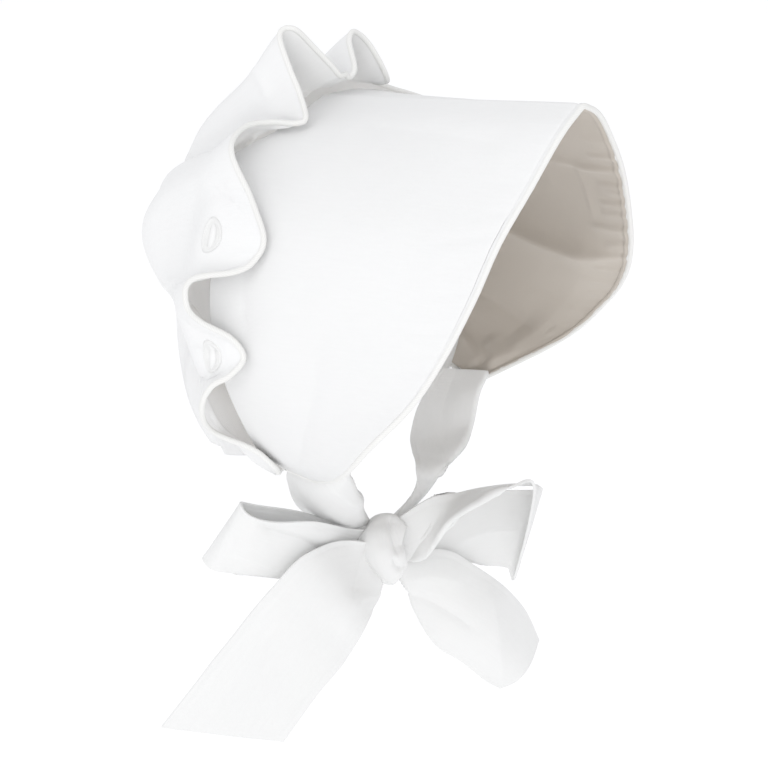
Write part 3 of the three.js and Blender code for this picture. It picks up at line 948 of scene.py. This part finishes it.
strapLeft = columnTable(bandColumns, [
    (0.0, 57, -8, -150, 59, -33, -147, 0),
    (0.12, 50, -1, -163, 54, -31, -154, 1),
    (0.35, 41, 1, -178, 48, -29, -171, 3),
    (0.6, 32, -6, -184, 36, -29, -180, 4),
    (0.75, 24, -14, -187, 27, -26, -188, 3),
    (0.88, 20, -15, -197, 24, -20, -197, 1),
    (1.0, 3, -10, -210, 7, -12, -210, 0),
])
loopRight = columnTable(bandColumns, [
    (0.0, 5, -17, -203, 3, -17, -227, 0),
    (0.1, 16, -28, -195, 8, -28, -222, 0),
    (0.2, 27, -35, -196, 12, -39, -204, 0),
    (0.3, 39, -42, -197, 18, -51, -193, 0),
    (0.4, 52, -50, -199, 31, -61, -189, 0),
    (0.47, 61, -56, -202, 46, -64, -202, 0),
    (0.5, 63, -57, -204, 50, -49, -244, 0),
    (0.55, 63, -52, -206, 49, -44, -243, 0),
    (0.65, 53, -40, -205, 41, -34, -240, 0),
    (0.8, 38, -28, -205, 31, -25, -233, 0),
    (1.0, 6, -10, -210, 6, -10, -226, 0),
])
loopLeft = columnTable(bandColumns, [
    (0.0, -5, -13, -206, -6, -13, -220, 0),
    (0.1, -17, -5, -202, -19, -6, -219, 0),
    (0.2, -46, -10, -184, -48, -9, -211, 0),
    (0.3, -66, -3, -177, -68, 0, -204, 0),
    (0.4, -74, 4, -171, -81, 10, -199, 0),
    (0.47, -72, 9, -168, -88, 18, -195, 0),
    (0.5, -68, 12, -170, -86, 23, -193, 0),
    (0.56, -61, 10, -174, -76, 21, -200, 0),
    (0.7, -40, 3, -185, -52, 11, -211, 0),
    (0.85, -23, -2, -197, -30, 1, -218, 0),
    (1.0, 0, -8, -213, 0, -7, -221, 0),
])
tailLeft = columnTable(bandColumns, [
    (0.0, -4, -16, -214, -2, -16, -225, 0),
    (0.1, -25, -11, -203, -12, -15, -236, 1),
    (0.25, -54, -13, -195, -28, -19, -243, 2),
    (0.45, -75, -7, -205, -38, -14, -257, 2),
    (0.7, -93, 9, -230, -50, -6, -271, 1),
    (1.0, -115, 33, -268, -65, 6, -294, 0),
])
tailRight = columnTable(bandColumns, [
    (0.0, 5, -14, -224, 3, -14, -229, 0),
    (0.15, 22, -24, -226, 7, -19, -251, 4),
    (0.4, 35, -36, -238, 11, -27, -270, 7),
    (0.65, 48, -44, -256, 21, -36, -283, 9),
    (0.85, 57, -47, -271, 32, -40, -297, 9),
    (1.0, 63, -49, -288, 38, -43, -304, 8),
])


def bandPoint(band, u, v):
    a = Vector([band["a" + axis](v) for axis in "xyz"])
    b = Vector([band["b" + axis](v) for axis in "xyz"])
    return (a.lerp(b, u) + ties["bellyWay"] * band["belly"](v) * math.sin(math.pi * u)) * mm


def bandLength(band):
    count = ties["lengthSteps"]
    steps = [bandPoint(band, 0.5, i / count) for i in range(count + 1)]
    return sum((b - a).length for a, b in zip(steps, steps[1:]))


# how much of the spare cloth is folded back behind each kind of band: the rest is eased into its width
folded = {
    "strap": columnTable("at share", [(0, 0), (0.15, 0.5), (0.3, 1), (1, 1)]),
    "loop": columnTable("at share", [(0, 1), (0.2, 1), (0.4, 0), (0.6, 0), (0.8, 1), (1, 1)]),
    "tail": columnTable("at share", [(0, 1), (0.2, 1), (0.55, 0), (1, 0)]),
}


# where a thread at x across the cloth lies on a band that is narrower: across it, and how far behind it
def foldBack(x, width, cloth, layers):
    if layers == 1:
        return x * min(1, ties["fullest"] * width / max(cloth, tiny)), 0
    radius = min(ties["foldRadius"], max(cloth - width, 0) / (math.pi - 1))
    flat = width - radius
    if radius < tiny or x < flat:
        return x, 0
    turn = (x - flat) / radius
    if turn < math.pi:
        return flat + radius * math.sin(turn), radius * (1 - math.cos(turn))
    used = flat + math.pi * radius
    across, behind = foldBack(x - used, flat, cloth - used, layers - 1)
    return flat - across, 2 * radius + behind


# fromU fromV toU toV bow height right left
tieCreases = {
    "strapNear": [(0.46, 0.1, 0.5, 1.1, -3, 4.5, 9, 9), (0.75, 0.1, 0.7, 0.7, 0, -1, 3, 4)],
    "strapFar": [(0.3, -0.1, 0.4, 0.95, 0, -1.5, 8, 6), (0.7, 0.3, 0.55, 1, 0, 1.2, 4, 4)],
    "loopRight": [
        (0.95, -0.05, 0.3, 0.2, 0, 1.8, 2, 3),
        (0.9, -0.05, 0.55, 0.24, 0, -1.6, 2, 3),
        (0.8, -0.05, 0.1, 0.16, 0, -1.4, 1.6, 2.4),
        (0.5, 0.5, 0.55, 0.85, 0, 1.5, 8, 8),
    ],
    "loopLeft": [
        (0.08, 0.36, 0.45, 0.12, -3, -2.2, 2, 4),
        (0.6, 0.1, 0.75, 0.45, 2, 1.2, 6, 8),
        (0.5, 0.55, 0.4, 0.9, 0, 1.5, 6, 8),
    ],
    "tailLeft": [
        (-0.05, 0.05, 0.75, 0.24, -4, -1.8, 2, 6),
        (0.75, 0.05, 0.8, 0.4, 0, 1, 4, 6),
        (0.3, 0.4, 0.35, 1.1, 3, 0.8, 14, 16),
    ],
    "tailRight": [
        (0.5, -0.05, 0.56, 0.6, 0, -1.8, 3, 5),
        (0.0, 0.45, 0.95, 1.02, -3, 2.6, 12, 12),
        (0.3, 0.0, 0.2, 0.4, 0, 1, 5, 5),
    ],
}


def makeBand(name, node, band, kind):
    length = bandLength(band)
    creases = creaseField(tieCreases[name], ties["width"] / mm, length / mm)
    toCamera = lookingBack(camera["azimuth"], camera["elevation"])

    @functools.cache
    def frameAt(v):
        step = ties["slopeStep"]
        way = bandPoint(band, 0.5, min(v + step, 1)) - bandPoint(band, 0.5, max(v - step, 0))
        across = bandPoint(band, 1, v) - bandPoint(band, 0, v)
        return across.length, across.cross(way.normalized())

    # 1 or -1: the side of a strap or tail, or of each half of a loop, that the camera sees
    def facing(v):
        half = 0.5 if kind != "loop" else 0.25 if v < 0.5 else 0.75
        return math.copysign(1, frameAt(half)[1].dot(toCamera))

    def surface(u, v):
        width, normal = frameAt(v)
        spare = max(ties["width"] * width / normal.length - width, 0)
        cloth = width + spare * min(max(folded[kind]["share"](v), 0), 1)
        across, behind = foldBack(u * cloth, width, cloth, ties["layers"])
        return bandPoint(band, across / width, v) - normal.normalized() * facing(v) * behind

    def folds(u, v, place):
        fromEdge = min(u, 1 - u) * ties["width"]
        hem = ties["hemDepth"] * ridge(fromEdge, ties["hemFromEdge"], ties["hemWidth"])
        return (creases(u, v) - hem) * facing(v) + noise.noise(place * ties["waverScale"]) * ties["waver"]

    item = layCloth(
        name, surface, ties["columns"], round(length / ties["rowStep"]),
        (ties["width"], length), ties["thickness"], [tieCotton], folds, rounding=ties["edgeRound"],
    )
    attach(item, "root")
    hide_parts(node)


# knot: one wide turn of the tie over the crossing, its folds running over the top and down the front
knot = {
    "centre": Vector((-3, -14, -217)) * mm,
    "sideways": Vector((0.643, -0.766, 0)),
    "facing": Vector((-0.766, -0.643, 0)),
    "depth": 14 * mm,
    "height": 17.5 * mm,
    "edgeRound": 0.42,
    "edgeBend": 2.6,
    "creaseTurn": 0.25,  # millimetres to a degree round it, and to half its width, for the creases
    "creaseAcross": 10,
    "around": 200,
    "across": 80,
    "flat": (90 * mm, 22 * mm),
}
knotShape = columnTable("turn shift halfWidth", [
    (-180, -2, 11),
    (-90, 0.6, 5.6),
    (-60, 0.6, 6.4),
    (-30, 1, 8.4),
    (0, -0.7, 9.4),
    (30, -1.7, 10.4),
    (60, -1.4, 10.8),
    (90, 0.8, 9.8),
    (135, -0.5, 10.5),
    (180, -2, 11),
])
# fromTurn fromAcross toTurn toAcross bow height right left
knotCreases = [
    (98, 0.05, 0, 0.72, -2.1, -2.6, 1.2, 2.2),
    (98, 0.5, 8, 0.97, -1, -1.4, 1.2, 2),
    (85, -0.4, 20, 0.15, -1, -0.8, 2, 3),
    (10, 0.45, -26, 0.95, 1.5, -1.8, 1, 1.6),
    (-30, -0.9, -70, 0.2, 0, -1, 1.6, 2),
]


def knotPoint(turn, across):
    angle = math.radians(turn)
    fill = 1 - knot["edgeRound"] * abs(across) ** knot["edgeBend"]
    x = (knotShape["shift"](turn) + across * knotShape["halfWidth"](turn)) * mm
    return (
        knot["centre"] + knot["sideways"] * x + knot["facing"] * math.cos(angle) * knot["depth"] * fill
        + Vector((0, 0, math.sin(angle) * knot["height"] * fill))
    )


def makeKnot():
    creases = creaseField(knotCreases, knot["creaseTurn"], knot["creaseAcross"])
    mesh = unitGrid(knot["around"], knot["across"])
    layPattern(mesh, lambda u, v: (v * knot["flat"][1], u * knot["flat"][0]))
    places = [(vert, vert.co.x * 360, vert.co.y * 2) for vert in mesh.verts]
    for vert, turn, across in places:
        vert.co = knotPoint(turn, across)
    mesh.normal_update()
    mesh.faces.ensure_lookup_table()
    outwards = mesh.faces[0].normal.dot(mesh.faces[0].calc_center_median() - knot["centre"])
    side = math.copysign(1, outwards)
    lifts = [(vert, vert.normal * creases(turn, across) * side) for vert, turn, across in places]
    for vert, lift in lifts:
        vert.co += lift
    closeMesh(mesh)
    item = finishMesh("knotWrap", mesh, [tieCotton])
    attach(item, "root")
    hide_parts("bow_knot")


makeBrim()
makeBrimPiping()
print("brim made")
makeCrown()
makeCrownPiping()
for number, (seam, back) in enumerate(buttonPlaces, 1):
    makeButton(number, seam, back)
print("crown and buttons made")
makeBand("strapNear", "strap_right", strapRight, "strap")
makeBand("strapFar", "strap_left", strapLeft, "strap")
makeBand("loopRight", "bow_loop_right", loopRight, "loop")
makeBand("loopLeft", "bow_loop_left", loopLeft, "loop")
makeBand("tailRight", "tail_right", tailRight, "tail")
makeBand("tailLeft", "tail_left", tailLeft, "tail")
makeKnot()
print("ties made")


def makeFloor():
    mesh = bmesh.new()
    bmesh.ops.create_grid(mesh, x_segments=1, y_segments=1, size=studio["floorSize"] / 2)
    bmesh.ops.translate(mesh, verts=mesh.verts, vec=(0, 0, -studio["floorDrop"]))
    material, _, shader = startMaterial("floorPaint", studio["floorRoughness"], studio["floorSpecular"])
    shader.inputs["Base Color"].default_value = studio["floorTone"]
    shader.inputs["Emission Color"].default_value = (1, 1, 1, 1)
    shader.inputs["Emission Strength"].default_value = studio["floorGlow"]
    finishMesh("floor", mesh, [material])


makeFloor()
print("floor laid")
